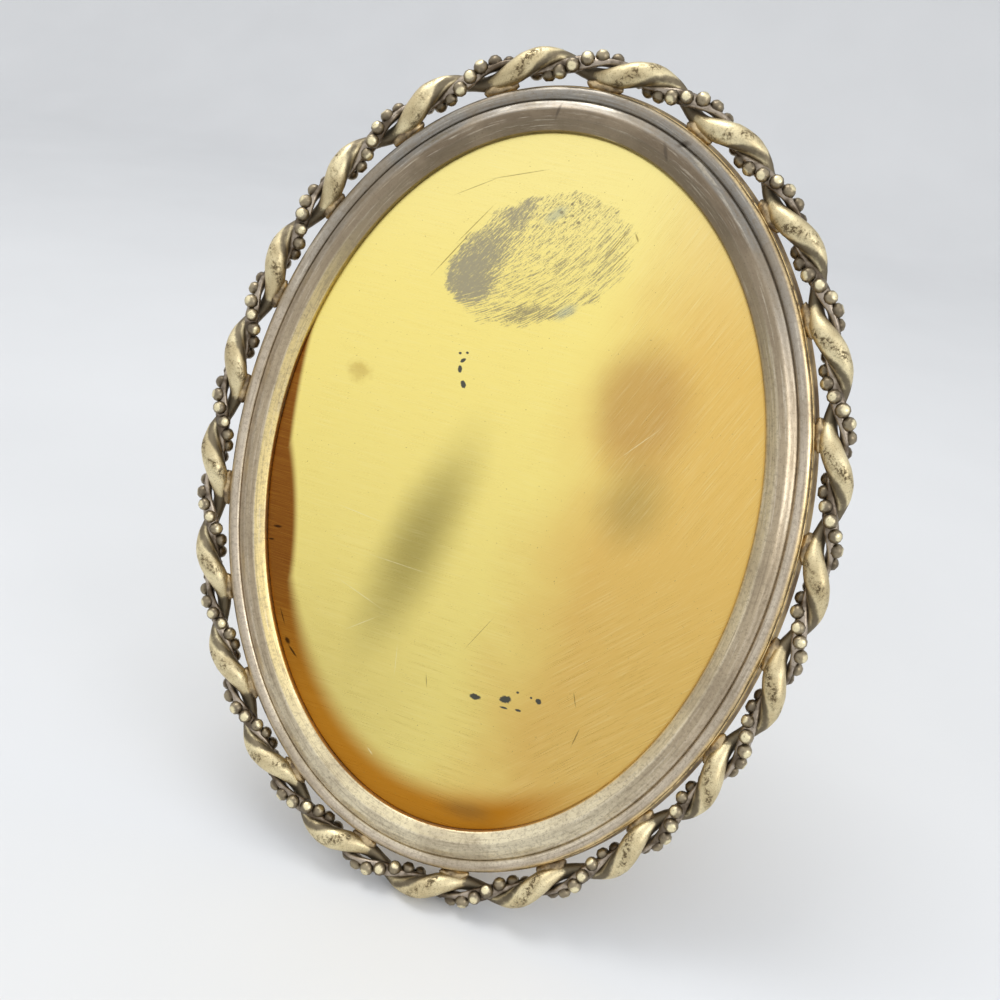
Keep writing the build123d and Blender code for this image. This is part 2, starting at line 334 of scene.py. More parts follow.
# %% Finish of the silvered moulding
def silvered_moulding():
    finish, shader = start_finish("silvered_moulding")
    across = attribute(finish, "across")
    flow = attribute(finish, "flow", "Vector")
    place = object_place(finish)
    tint = plated_tones_shade_and_light(finish, across)
    lines = grain(finish, flow, 1.0, 6.0, 0.72)
    clouds = grain(finish, place, 55.0, 5.0, 0.6)
    specks = grain(finish, place, 2600.0, 2.0, 0.7)
    grit = grain(finish, place, 1100.0, 4.0, 0.75)
    layers = (
        (lines, 0.50, 0.66, 0.55, (0.27, 0.21, 0.14)),
        (lines, 0.46, 0.34, 0.40, (0.88, 0.80, 0.64)),
        (clouds, 0.46, 0.66, 0.50, (0.36, 0.29, 0.20)),
        (grit, 0.46, 0.66, 0.42, (0.24, 0.19, 0.13)),
        (specks, 0.60, 0.74, 0.55, (0.12, 0.09, 0.06)),
    )
    for result, low, high, share, colour in layers:
        tint = mixed(finish, eased(finish, result, low, high, 0.0, share), tint, colour)
    face = face_place(finish)
    uneven = wandering(finish, face, 1.2)
    for centre, size, degrees in seam_marks:
        mark = patch(finish, face, centre, size, degrees, 0.7, 0.6, uneven)
        tint = mixed(finish, share_of(finish, mark, 0.7), tint, (0.10, 0.08, 0.06))
    plug(finish, shader.inputs["Base Color"], tint)
    dull = eased(finish, clouds, 0.3, 0.7, 0.30, 0.42)
    plug(finish, shader.inputs["Roughness"], added(finish, dull, eased(finish, lines, 0.4, 0.7, 0, 0.08)))
    relief(finish, shader, added(finish, lines, share_of(finish, specks, 0.3)), 0.05, 0.6)
    return finish


moulding_finish = silvered_moulding()
print("finish", moulding_finish.name, len(moulding_finish.node_tree.nodes), "nodes")

# %% [markdown]
# A ring starts as its section, a closed loop of a few points. Cutting the corners twice gives the
# soft edges of worn metal. The section is spun once round a circle, and the circle is then bent
# onto the oval, point by point, so that every ring keeps its section all the way round.

# %% A section spun and bent onto the oval
ring_steps = 480
ring_radius = (half_width + half_height) / 2
line_stretch = 14.0


def soften(corners, rounds=2):
    """Cuts each corner of a closed section, as wear does."""
    for turn in range(rounds):
        cut = []
        for i, corner in enumerate(corners):
            before, after = Vector(corners[i - 1]), Vector(corner)
            cut += [before.lerp(after, 0.25), before.lerp(after, 0.75)]
        corners = cut
    return corners


def arch(centre, width, rise, count):
    """Points over a half round, from its inner foot to its outer foot."""
    turns = [math.pi * i / count for i in range(count + 1)]
    return [(centre[0] - width / 2 * math.cos(t), centre[1] + rise * math.sin(t)) for t in turns]


def spin_ring(section):
    """A section of offset and height, spun round and bent onto the oval."""
    work = bmesh.new()
    across = work.verts.layers.float.new("across")
    flow = work.verts.layers.float_vector.new("flow")
    corners = [work.verts.new((0, ring_radius + offset, height)) for offset, height in section]
    edges = [work.edges.new((corners[i - 1], corner)) for i, corner in enumerate(corners)]
    bmesh.ops.spin(
        work,
        geom=corners + edges,
        cent=(0, 0, 0),
        axis=(0, 0, 1),
        angle=2 * math.pi,
        steps=ring_steps,
        use_merge=True,
    )
    for vert in work.verts:
        turn = math.atan2(vert.co.x, vert.co.y)
        offset = math.hypot(vert.co.x, vert.co.y) - ring_radius
        vert[across] = offset
        round_place = Vector((math.sin(turn), math.cos(turn), 0)) * ring_radius / line_stretch
        vert[flow] = round_place + Vector((0, 0, (offset + vert.co.z) * 1.6))
        vert.co = oval_point(turn, offset, vert.co.z)
    bmesh.ops.recalc_face_normals(work, faces=work.faces)
    return work


def keep_piece(name, work, finish, body="frame", place=to_frame, sharp=None):
    """Moves a mesh to the frame and makes it a piece that rides on a body."""
    bmesh.ops.transform(work, matrix=place, verts=work.verts)
    mesh = bpy.data.meshes.new(name)
    work.to_mesh(mesh)
    work.free()
    mesh.materials.append(finish)
    mesh.shade_smooth()
    if sharp:
        mesh.set_sharp_from_angle(angle=math.radians(sharp))
    piece = bpy.data.objects.new(name, mesh)
    bpy.context.scene.collection.objects.link(piece)
    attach(piece, body)
    print(name, len(mesh.polygons), "faces")
    return piece


# %% [markdown]
# The moulding's section rises from a thin lip over a bevel to a flat, falls through a scoop that
# holds the tarnish, and ends in a half round bead.

# %% The moulding
seat_height = 3.4
bead_foot = 5.0
moulding_section = [
    (0.35, seat_height + 0.02),
    (0.02, seat_height + 0.1),
    (0.0, 4.9),
    (0.14, 5.26),
    (2.18, 6.58),
    (2.55, 6.76),
    (4.3, 6.86),
    (4.9, 6.72),
    (5.5, 6.38),
    (6.2, 5.92),
    (6.9, 5.58),
    *arch((8.6, bead_foot), 3.2, 1.05, 8),
    (10.2, seat_height + 0.02),
]
moulding = keep_piece(
    "moulding_ring", spin_ring(soften(moulding_section)), moulding_finish
)
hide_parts("front_moulding")

# %% [markdown]
# The band behind the moulding is plain brass, which the silver never covered. Its wall flares
# outwards, so a thin golden brown line shows round the ring. Age has darkened it in clouds.

# %% Finish and ring of the brass band
def aged_brass(name, bright, dark, scale=60.0, roughness=(0.32, 0.55)):
    """Old brass: bright where hands rub it, brown in clouds, with fine dark specks."""
    finish, shader = start_finish(name)
    place = object_place(finish)
    clouds = grain(finish, place, scale, 6.0, 0.62)
    specks = grain(finish, place, 1500.0, 3.0, 0.7)
    tint = mixed(finish, eased(finish, clouds, 0.36, 0.66), bright, dark)
    tint = mixed(finish, eased(finish, specks, 0.60, 0.72, 0.0, 0.7), tint, (0.07, 0.05, 0.03))
    plug(finish, shader.inputs["Base Color"], tint)
    plug(finish, shader.inputs["Roughness"], eased(finish, clouds, 0.3, 0.7, *roughness))
    relief(finish, shader, added(finish, clouds, specks), 0.05, 0.6)
    return finish


band_finish = aged_brass("brass_band", (0.52, 0.37, 0.17), (0.25, 0.16, 0.08), 90.0, (0.42, 0.6))
band_section = [
    (3.7, 0.0),
    (12.05, 0.0),
    (12.2, 0.25),
    (11.6, 1.3),
    (10.95, 2.5),
    (10.8, 3.7),
    (10.62, 4.06),
    (10.32, 4.06),
    (10.3, seat_height),
    (3.7, seat_height),
]


def rubbed_rim(finish, limit, colour):
    """Lets the pale metal through where hands rub the rim, inside a distance from the sight."""
    shader = finish.node_tree.nodes["Principled BSDF"]
    tint = shader.inputs["Base Color"].links[0].from_socket
    across = attribute(finish, "across")
    patches = grain(finish, object_place(finish), 420.0, 4.0, 0.7)
    inside = eased(finish, across, limit + 0.2, limit - 0.1)
    rubbed = share_of(finish, inside, 0.95, eased(finish, patches, 0.66, 0.46))
    plug(finish, shader.inputs["Base Color"], mixed(finish, rubbed, tint, colour))


rubbed_rim(band_finish, 10.95, (0.90, 0.70, 0.36))
band = keep_piece("band_ring", spin_ring(soften(band_section, 1)), band_finish, sharp=40)
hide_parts("back_band")

# %% [markdown]
# The border is two strands wound on each other right round the oval, in 21 turns. Both follow one
# axis a fixed distance outside the ring. The axis is walked once in small steps, so that a length
# along it can be turned into an angle, which keeps the turns equally long all the way round.

# %% The rope's axis
rope_offset = 15.75
rope_height = 3.4
turn_count = 21
first_lobe_share = 0.64
axis_samples = 1440

rope_lengths = [0.0]
for i in range(axis_samples):
    step = oval_point(2 * math.pi * (i + 1) / axis_samples, rope_offset)
    step -= oval_point(2 * math.pi * i / axis_samples, rope_offset)
    rope_lengths.append(rope_lengths[-1] + step.length)
rope_length = rope_lengths[-1]
rope_pitch = rope_length / turn_count
print("rope axis", round(rope_length, 2), "mm, one turn in", round(rope_pitch, 2), "mm")


def rope_angle(length):
    """The angle round the oval at a length along the rope's axis."""
    length %= rope_length
    low, high = 0, axis_samples
    while high - low > 1:
        middle = (low + high) // 2
        if rope_lengths[middle] <= length:
            low = middle
        else:
            high = middle
    share = (length - rope_lengths[low]) / (rope_lengths[high] - rope_lengths[low])
    return 2 * math.pi * (low + share) / axis_samples


def winding(length, radius, side, shift=0.0):
    """The middle of a strand, and the direction from the rope's axis to it."""
    angle = rope_angle(length)
    twist = side - 2 * math.pi * (length / rope_pitch - first_lobe_share)
    away = oval_normal(angle) * math.cos(twist) + Vector((0, 0, math.sin(twist)))
    return oval_point(angle, rope_offset + shift, rope_height) + away * radius, away


def winding_axes(length, radius, side, shift=0.0):
    """The middle of a strand, its direction, the way out from the rope and the way across."""
    nudge = rope_pitch / axis_samples
    middle, away = winding(length, radius, side, shift)
    ahead = winding(length + nudge, radius, side, shift)[0]
    along = (ahead - winding(length - nudge, radius, side, shift)[0]).normalized()
    out = (away - along * away.dot(along)).normalized()
    return middle, along, out, along.cross(out)


# %% [markdown]
# The smooth strand and the strip under the beads are each a tube round this winding. A circle is
# spun into a plain ring, and each of its points is then moved to the same place on the winding.
# The real strand was cast and dressed by hand, so its surface wanders a little.

# %% A tube on the winding
strand_steps = 32


def wind_tube(radius, side, thick, wide, sides, wander, slim=0.0, shift=0.0):
    """A tube, thick away from the rope's axis, wide across it and slimmer towards the back."""
    work = bmesh.new()
    outward = work.verts.layers.float.new("outward")
    front = work.verts.layers.float.new("front")
    rise = work.verts.layers.float.new("rise")
    inner = work.verts.layers.float.new("inner")
    steps = turn_count * strand_steps
    circle = bmesh.ops.create_circle(
        work,
        segments=sides,
        radius=1.0,
        matrix=Matrix.Translation((0, ring_radius, 0)) @ Matrix.Rotation(math.pi / 2, 4, "Y"),
    )
    bmesh.ops.spin(
        work,
        geom=circle["verts"] + list(work.edges),
        cent=(0, 0, 0),
        axis=(0, 0, 1),
        angle=2 * math.pi,
        steps=steps,
        use_merge=True,
    )
    axes = [winding_axes(rope_length * i / steps, radius, side, shift) for i in range(steps)]
    for vert in work.verts:
        turn = math.atan2(vert.co.x, vert.co.y)
        step = round(turn / (2 * math.pi) * steps) % steps
        middle, along, out, beside = axes[step]
        around = math.atan2(vert.co.z, math.hypot(vert.co.x, vert.co.y) - ring_radius)
        way = out * (math.cos(around) * thick) + beside * (math.sin(around) * wide)
        way *= 1 - slim * (0.5 - 0.5 * out.z)
        place = middle + way
        dent = noise.noise(place * 0.28) * wander + noise.noise(place * 0.9) * wander * 0.4
        vert[outward] = math.cos(around)
        vert[inner] = math.sin(around)
        vert[rise] = out.z
        vert[front] = way.normalized().z
        vert.co = place + way.normalized() * dent
    bmesh.ops.recalc_face_normals(work, faces=work.faces)
    return work


# %% [markdown]
# The smooth strand is pale antique gilt. Where the casting was porous the dark has stayed in small
# pits, thickest along the front of each turn. It is darker where it turns to the back, and patina and
# painted shade darken the crease and the hollow against the beads.

# %% Finish of the smooth strand
def strand_patina_and_shade(finish, blotch, front, outward, rise, inner):
    """Where the strand is darkened: where it turns to the back, and by patina and painted shade in the
    crease beside the beads and in the hollow.
    """
    proud = added(finish, share_of(finish, rise, 0.75), share_of(finish, front, 0.25))
    proud = added(finish, proud, share_of(finish, less(finish, blotch, 0.5), 0.9))
    behind = eased(finish, proud, -0.02, -0.24)
    crease = eased(finish, added(finish, inner, share_of(finish, blotch, 0.3)), 0.98, 1.14)
    hollow = eased(finish, outward, -0.40, -0.80)
    return largest(finish, behind, crease, hollow)


def gilt_strand():
    finish, shader = start_finish("gilt_strand")
    place = object_place(finish)
    names = ("front", "outward", "rise", "inner")
    front, outward, rise, inner = (attribute(finish, name) for name in names)
    clouds = grain(finish, place, 130.0, 3.0, 0.6)
    blotch = grain(finish, place, 300.0, 5.0, 0.7)
    pits = grain(finish, place, 1300.0, 3.0, 0.7)
    fine = grain(finish, place, 3200.0, 2.0, 0.7)
    tint = mixed(finish, eased(finish, clouds, 0.35, 0.65), (0.86, 0.75, 0.47), (0.64, 0.53, 0.31))
    off_crest = node(finish, "Math", {"operation": "ABSOLUTE"}, {0: less(finish, inner, 0.15)}).outputs[0]
    crest = share_of(finish, eased(finish, off_crest, 0.75, 0.1), eased(finish, rise, 0.1, 0.7))
    rubbed = share_of(finish, crest, eased(finish, blotch, 0.41, 0.55))
    pitted = share_of(finish, rubbed, eased(finish, pits, 0.46, 0.56))
    tint = mixed(finish, share_of(finish, rubbed, 0.45), tint, (0.38, 0.29, 0.15))
    tint = mixed(finish, share_of(finish, pitted, 0.85), tint, (0.09, 0.06, 0.03))
    tint = mixed(finish, eased(finish, fine, 0.52, 0.68, 0.0, 0.5), tint, (0.30, 0.22, 0.11))
    # Patina, and painted shade in the crease and hollow against the beads, darken the strand.
    patina_and_shade = strand_patina_and_shade(finish, blotch, front, outward, rise, inner)
    patina_and_shade_tint = mixed(finish, clouds, (0.09, 0.07, 0.045), (0.20, 0.165, 0.115))
    plug(finish, shader.inputs["Base Color"], mixed(finish, share_of(finish, patina_and_shade, 0.9), tint, patina_and_shade_tint))
    rough = largest(finish, eased(finish, pitted, 0.0, 1.0, 0.42, 0.65), share_of(finish, patina_and_shade, 0.55))
    plug(finish, shader.inputs["Roughness"], rough)
    relief(finish, shader, less(finish, share_of(finish, fine, 0.5), pitted), 0.10, 0.8)
    return finish


strand_finish = gilt_strand()

# %% The smooth strand
strand_radius = 2.62
strand_twist_radius = 1.86
strand_sides = 20
strand_wander = 0.14
strand_slim = 0.38
strand_shift = -0.1
strand = keep_piece(
    "smooth_winding",
    wind_tube(
        strand_twist_radius,
        0,
        strand_radius,
        strand_radius * 1.04,
        strand_sides,
        strand_wander,
        strand_slim,
        strand_shift,
    ),
    strand_finish,
)
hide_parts("smooth_strand")

# %% [markdown]
# The beaded strand is a cast strip with a row of round beads on it. A row of 179 spheres needs
# each one light, so a bead has only 60 faces and smooth shading does the rest. Its poles point
# out of the rope, where wear has flattened the crown, and each bead differs a little in size.

# %% Finish of the beads and their strip
def gilt_beads():
    finish, shader = start_finish("gilt_beads")
    place = object_place(finish)
    crown = attribute(finish, "crown")
    front = attribute(finish, "front")
    strip = attribute(finish, "strip")
    clouds = grain(finish, place, 160.0, 3.0, 0.6)
    pits = grain(finish, place, 1300.0, 3.0, 0.7)
    tint = mixed(finish, eased(finish, clouds, 0.38, 0.62), (0.36, 0.30, 0.20), (0.22, 0.18, 0.125))
    proud = added(finish, crown, share_of(finish, less(finish, pits, 0.5), 0.35))
    worn = share_of(finish, eased(finish, proud, 0.70, 0.92), eased(finish, front, -0.15, 0.35))
    tint = mixed(finish, worn, tint, (0.90, 0.80, 0.52))
    shade = eased(finish, crown, 0.40, -0.30)
    tint = mixed(finish, share_of(finish, shade, 0.88), tint, (0.08, 0.06, 0.04))
    sheet = mixed(finish, eased(finish, clouds, 0.40, 0.60), (0.46, 0.39, 0.31), (0.13, 0.10, 0.07))
    tint = mixed(finish, strip, tint, sheet)
    tint = mixed(finish, eased(finish, pits, 0.58, 0.70, 0.0, 0.6), tint, (0.09, 0.07, 0.05))
    plug(finish, shader.inputs["Base Color"], tint)
    plug(finish, shader.inputs["Roughness"], eased(finish, pits, 0.4, 0.7, 0.36, 0.55))
    relief(finish, shader, less(finish, clouds, pits), 0.06, 0.7)
    return finish


bead_finish = gilt_beads()

# %% The beaded strand
bead_count = 179
bead_radius = 1.78
bead_twist_radius = 2.2
bead_shift = 0.25
bead_sides = 10
bead_rings = 6
bead_chance = random.Random(7)
crown_height = 0.86
strip_twist_radius = 1.15
strip_thick = 1.0
strip_wide = 1.75
strip_sides = 10
strip_wander = 0.12

beads = wind_tube(
    strip_twist_radius,
    math.pi,
    strip_thick,
    strip_wide,
    strip_sides,
    strip_wander,
    0.0,
    bead_shift,
)
beads.verts.layers.float.new("crown")
beads.verts.layers.float.new("strip")
crown = beads.verts.layers.float["crown"]
strip = beads.verts.layers.float["strip"]
front = beads.verts.layers.float["front"]
outward = beads.verts.layers.float["outward"]
for vert in beads.verts:
    vert[crown] = vert[outward] * 0.55
    vert[strip] = 1.0
for i in range(bead_count):
    length = rope_length * (i + 0.5 + bead_chance.uniform(-0.05, 0.05)) / bead_count
    middle, along, out, beside = winding_axes(length, bead_twist_radius, math.pi, bead_shift)
    axes = Matrix((along, beside, out)).transposed()
    size = bead_radius * bead_chance.uniform(0.95, 1.05)
    bead = bmesh.ops.create_uvsphere(beads, u_segments=bead_sides, v_segments=bead_rings, radius=1.0)
    for vert in bead["verts"]:
        way = axes @ vert.co
        vert[crown] = vert.co.z
        vert[outward] = vert.co.z
        vert[front] = out.z
        flat = Vector((vert.co.x, vert.co.y, min(vert.co.z, crown_height)))
        vert.co = middle + axes @ flat * size
beaded = keep_piece("beaded_winding", beads, bead_finish)
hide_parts("beaded_wire")

# %% [markdown]
# Solder holds the rope to the band, once in each turn, where the smooth strand comes nearest. A
# blob of solder has no edges, so each is a sphere drawn out along the gap and pushed about by
# noise, which leaves it lumpy like the real ones.

# %% Solder between the rope and the band
solder_finish = aged_brass("solder", (0.60, 0.46, 0.26), (0.19, 0.14, 0.09), 330.0, (0.38, 0.6))
solder = bmesh.new()
solder_chance = random.Random(21)
solder_offset = 11.9
solder_height = 3.1
solder_half = 1.5
for i in range(turn_count):
    angle = rope_angle(rope_pitch * (i + first_lobe_share + 0.5))
    out = oval_normal(angle)
    along = Vector((out.y, -out.x, 0))
    axes = Matrix((along, out, Vector((0, 0, 1)))).transposed()
    middle = oval_point(angle, solder_offset, solder_height)
    half = Vector((solder_chance.uniform(3.6, 4.6), solder_half, solder_half))
    blob = bmesh.ops.create_icosphere(solder, subdivisions=3, radius=1.0)
    for vert in blob["verts"]:
        way = vert.co.copy()
        place = middle + axes @ Vector((way.x * half.x, way.y * half.y, way.z * half.z))
        lump = noise.noise(place * 0.8) * 0.5 + noise.noise(place * 2.4) * 0.35
        vert.co = place + axes @ way * lump
webs = keep_piece("solder_webs", solder, solder_finish)
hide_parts("solder_lugs")

# %% [markdown]
# The plate is gilt brass that was brushed in several directions and then lived in: a grey worn
# patch near the top, a few dark spots and fine scratches. The brown bands at the left and the foot
# are painted reflections of the ring.
# The marks are placed in millimetres on the face, each a soft oval, and a scratch is only a very
# thin one. The brushing is noise drawn out along its own direction in each part of the plate.

# %% Marks on the plate
plate_marks = [
    ((-17.4, 30.2), (0.45, 0.35), 0),
    ((-15.6, 30.6), (0.45, 0.35), 0),
    ((-16.3, 28.6), (0.9, 0.5), 40),
    ((-16.6, 26.4), (0.6, 1.1), 10),
    ((-15.0, 22.9), (0.7, 1.1), 25),
    ((4.5, -51.4), (1.6, 0.85), 0),
    ((12.1, -50.0), (1.7, 1.15), 12),
    ((20.1, -48.3), (0.9, 0.75), 0),
    ((12.1, -52.1), (1.1, 0.3), 0),
    ((15.7, -51.8), (0.8, 0.35), 0),
    ((14.7, -47.5), (0.45, 0.35), 0),
    ((18.2, -47.9), (0.35, 0.3), 0),
]
band_marks = [
    ((-55.3, -22.4), (1.5, 0.45), 5),
    ((-56.4, -26.0), (1.1, 0.35), 5),
    ((-46.6, -50.6), (1.3, 0.75), -45),
    ((-44.6, -53.0), (2.4, 0.35), -42),
    ((-49.2, -44.8), (3.0, 0.18), -62),
]
pale_scratches = [
    ((-29.6, -34.0), (8.8, 0.16), -20),
    ((-28.0, -41.0), (6.5, 0.14), 35),
    ((-22.0, -24.0), (11.0, 0.12), -4),
    ((-34.0, -14.0), (9.0, 0.12), -8),
    ((30.0, 18.0), (7.5, 0.14), 48),
    ((-19.0, -72.4), (1.6, 0.30), -40),
    ((-17.2, -48.0), (6.0, 0.12), 96),
]
plate_crumbs = [
    ((1.9, 69.6), (0.45, 0.35), 20),
    ((3.6, 70.6), (0.40, 0.30), -30),
    ((4.6, 68.6), (0.50, 0.35), 60),
    ((2.6, 67.0), (0.45, 0.35), 0),
    ((4.2, 65.6), (0.70, 0.45), 30),
    ((6.4, 67.2), (0.40, 0.30), 0),
    ((1.0, 65.2), (0.45, 0.35), 40),
    ((-0.2, 67.4), (0.60, 0.50), 20),
]
plate_scratches = [
    ((-8.4, -50.8), (2.2, 0.17), 105),
    ((30.8, -54.5), (3.0, 0.22), 78),
    ((28.6, -45.4), (2.4, 0.16), 110),
    ((-24.6, 53.5), (9.0, 0.20), 57),
    ((-20.5, 61.0), (8.0, 0.16), 55),
    ((-12.0, 74.5), (9.0, 0.14), 18),
    ((-22.0, 70.0), (7.0, 0.12), 30),
    ((14.5, 62.5), (6.5, 0.20), 62),
    ((16.5, 60.0), (6.5, 0.16), 57),
    ((18.6, 64.6), (1.4, 0.30), 120),
    ((2.0, -36.0), (7.0, 0.10), 60),
]
mark_kinds = [
    (plate_marks, 0.3, 1.1, 1.0, (0.10, 0.10, 0.08)),
    (plate_crumbs, 0.5, 1.2, 0.8, (0.26, 0.22, 0.13)),
    (band_marks, 0.6, 0.6, 0.9, (0.035, 0.014, 0.005)),
    (pale_scratches, 0.9, 0.8, 0.6, (1.0, 0.93, 0.56)),
    (plate_scratches, 0.7, 0.7, 0.7, (0.20, 0.13, 0.04)),
]

# %% [markdown]
# The gilding goes from pale yellow at the left to golden at the right, paler at the top and darker
# low at the left, all painted reflection. A brown glow and an olive streak are painted reflections,
# an olive shadow is painted shade, and a small blotch lies on the gilding. Over them runs the
# brushing: level at the left, steep at the upper right and slanting at the lower right.

# %% Tones, painted reflections and brushing of the plate
def gilt_and_painted_reflections(finish, place, right, high, broad, ragged):
    """The gilding with its painted reflections and painted shade."""
    wide = grain(finish, place, 0.045, 3.0, 0.5)
    slope = less(finish, right, share_of(finish, high, 0.15))
    slope = added(finish, slope, share_of(finish, less(finish, wide, 0.5), 24.0))
    # Painted reflections: pale at the left, golden at the right, paler at the top, darker low at the
    # left.
    tint = mixed(finish, eased(finish, slope, 2.0, 34.0), (0.97, 0.81, 0.25), (0.82, 0.54, 0.15))
    tint = mixed(finish, eased(finish, high, 35.0, 85.0, 0.0, 0.6), tint, (0.98, 0.85, 0.36))
    low, left = eased(finish, high, -20.0, -75.0), eased(finish, right, 10.0, -40.0)
    tint = mixed(finish, share_of(finish, low, left, 0.45), tint, (0.62, 0.49, 0.16))
    # Painted reflections: the brown glow and the olive streak; painted shade: the olive patch.
    glow = patch(finish, place, (28.5, 26), (16, 21), 8, 0.7, 0.35, broad)
    tint = mixed(finish, share_of(finish, glow, 0.80), tint, (0.58, 0.34, 0.10))
    olive = patch(finish, place, (31, 3), (12, 15), -15, 0.9, 0.35, broad)
    tint = mixed(finish, share_of(finish, olive, 0.55), tint, (0.40, 0.29, 0.09))
    streak = patch(finish, place, (-18, -18), (42, 12.0), 74, 0.95, 0.3, broad)
    tint = mixed(finish, share_of(finish, streak, 0.80), tint, (0.37, 0.30, 0.085))
    blotch = patch(finish, place, (-41.9, 21.0), (4.5, 3.5), 0, 0.8, 1.2, ragged)
    return mixed(finish, share_of(finish, blotch, 0.6), tint, (0.60, 0.42, 0.10))


def brushed(finish, place, degrees, fine=4.5):
    """Brushing in one direction, noise drawn out along it."""
    return grain(finish, turned(finish, place, (0, 0), (60.0, 1.0), degrees), fine, 4.0, 0.75)


def brush_lines(finish, place, right, high):
    """Brushing in the direction of each part of the plate."""
    level, steep, slant = (brushed(finish, place, degrees) for degrees in (-3, 64, 42))
    right_lines = mixed(finish, eased(finish, high, -25.0, 5.0), slant, steep)
    return mixed(finish, eased(finish, right, 6.0, 26.0), level, right_lines)


# %% [markdown]
# A brown band, a painted reflection of the ring's inner wall, runs down the left and along the
# foot. Its inner edge is the outside of a large turned oval, sharp at the left and soft at the foot,
# and one more oval widens it at the left.

# %% The brown bands of painted reflection
def brown_reflection_bands(finish, place, right, high, lines, ragged):
    """The share of painted brown reflection over the gilding, and its colour."""
    reach = flat_length(finish, turned(finish, place, (22.8, 52.0), (75.0, 132.1), -14.5))
    soft = eased(finish, high, -20.0, -60.0, 0.010, 0.030)
    brown = eased(finish, reach, less(finish, 1.0, soft), added(finish, 1.0, soft))
    brown = largest(finish, brown, patch(finish, place, (-60.5, -21), (10.8, 38), 11, 0.2))
    # Painted reflection of the ring's wall: dark brown at the left, where the wall is shaded, orange at
    # the foot.
    umber = mixed(finish, eased(finish, high, -30.0, -70.0), (0.21, 0.052, 0.004), (0.52, 0.20, 0.010))
    umber = mixed(finish, eased(finish, reach, 1.03, 1.09, 0.0, 0.35), umber, (0.17, 0.055, 0.005))
    umber = mixed(finish, eased(finish, lines, 0.45, 0.65, 0.0, 0.30), umber, (0.58, 0.27, 0.03))
    smear = patch(finish, place, (8.5, -80.0), (10.0, 3.6), 4, 0.9, 0.4, ragged)
    umber = mixed(finish, share_of(finish, smear, 0.55), umber, (0.24, 0.12, 0.03))
    fade = eased(finish, less(finish, right, share_of(finish, high, 0.5)), 75.0, 55.0)
    return share_of(finish, brown, 0.96, fade), umber


# %% [markdown]
# Near the top the gilding is rubbed through to grey. The strokes are noise drawn out along them:
# straight and dense at the left, and swung round a far centre at the right, where they thin out
# into a fan. A few soft ovals say how densely they lie.

# %% The rubbed patch
def rubbing_strokes(finish, place):
    """Straight strokes at the left, a fan at the right, both frayed a little."""
    centre = (-40.7, 94.0, 0)
    away = node(finish, "VectorMath", {"operation": "SUBTRACT"}, {0: place, 1: centre}).outputs[0]
    parts = node(finish, "SeparateXYZ", (), {"Vector": away})
    swing = math_step(finish, "ARCTAN2", parts.outputs[1], parts.outputs[0])
    values = {"X": flat_length(finish, away), "Y": share_of(finish, swing, 3.0)}
    fan = grain(finish, node(finish, "CombineXYZ", (), values).outputs[0], 3.4, 5.0, 0.8)
    straight = grain(finish, turned(finish, place, (0, 0), (7.0, 1.0), 54), 3.0, 5.0, 0.8)
    fray = grain(finish, place, 2.4, 4.0, 0.8)
    leaf = turned(finish, place, (-2.0, 56.5), (1, 1), 34)
    side = node(finish, "SeparateXYZ", (), {"Vector": leaf}).outputs[1]
    return mixed(finish, 0.22, mixed(finish, eased(finish, side, -6.0, 8.0), fan, straight), fray)


def rubbed_patch(finish, place, coarse):
    """How much of the gilding is rubbed away, and where that is dense."""
    strokes = rubbing_strokes(finish, place)
    whole = patch(finish, place, (-3.0, 55.5), (28.0, 18.5), 31, 0.3, 0.35, coarse)
    dense = patch(finish, place, (-19.0, 51.5), (31.0, 15.0), 55, 1.0, 0.15, coarse)
    heel = patch(finish, place, (-18.0, 46.5), (15.0, 10.0), 20, 0.95, 0.3, coarse)
    upper = patch(finish, place, (-10.5, 65.0), (16.0, 9.0), 62, 0.95, 0.3, coarse)
    rim = patch(finish, place, (-3.0, 42.5), (21.0, 6.0), 12, 0.95, 0.5, coarse)
    tip = patch(finish, place, (13.0, 58.5), (14.0, 6.0), 56, 0.95, 0.4, coarse)
    dense = largest(finish, dense, share_of(finish, heel, 0.98), share_of(finish, upper, 0.85))
    density = largest(finish, dense, share_of(finish, rim, 0.80), share_of(finish, tip, 0.62), 0.52)
    lift = share_of(finish, less(finish, density, 0.5), 0.24)
    lift = less(finish, lift, eased(finish, whole, 0.9, 0.0, 0.0, 0.3))
    return eased(finish, added(finish, strokes, lift), 0.50, 0.57), dense


# %% [markdown]
# Two bluish spots, flecks round the rubbed patch and stray crumbs come next, and then the marks of
# the lists above. The renderer can hold only so many steps of one finish, and this one is close to
# that, so its relief is of the brushing alone.

# %% Finish of the gilt plate
bluish_spots = [(-1.5, 66.6), (6.0, 44.8)]


def specked(finish, tint, place, coarse, ragged):
    """Spots, flecks and crumbs over a tint."""
    for centre in bluish_spots:
        spot = share_of(finish, patch(finish, place, centre, (4.5, 2.2), 40, 0.9, 0.6, ragged), 0.55)
        tint = mixed(finish, spot, tint, (0.40, 0.45, 0.36))
    halo = patch(finish, place, (-3.0, 57.5), (38.0, 27.0), 30, 0.8, 0.3, coarse)
    flecks = eased(finish, grain(finish, place, 3.4, 3.0, 0.7), 0.60, 0.68)
    tint = mixed(finish, share_of(finish, halo, flecks, 0.6), tint, (0.42, 0.31, 0.11))
    crumbs = grain(finish, place, 2.2, 2.0, 0.5)
    return mixed(finish, eased(finish, crumbs, 0.735, 0.76, 0.0, 0.8), tint, (0.30, 0.21, 0.07))


def marked(finish, tint, place, uneven):
    """The listed marks over a tint."""
    for marks, soft, ragged, share, colour in mark_kinds:
        for centre, size, degrees in marks:
            mark = patch(finish, place, centre, size, degrees, soft, ragged, uneven)
            tint = mixed(finish, share_of(finish, mark, share), tint, colour)
    return tint


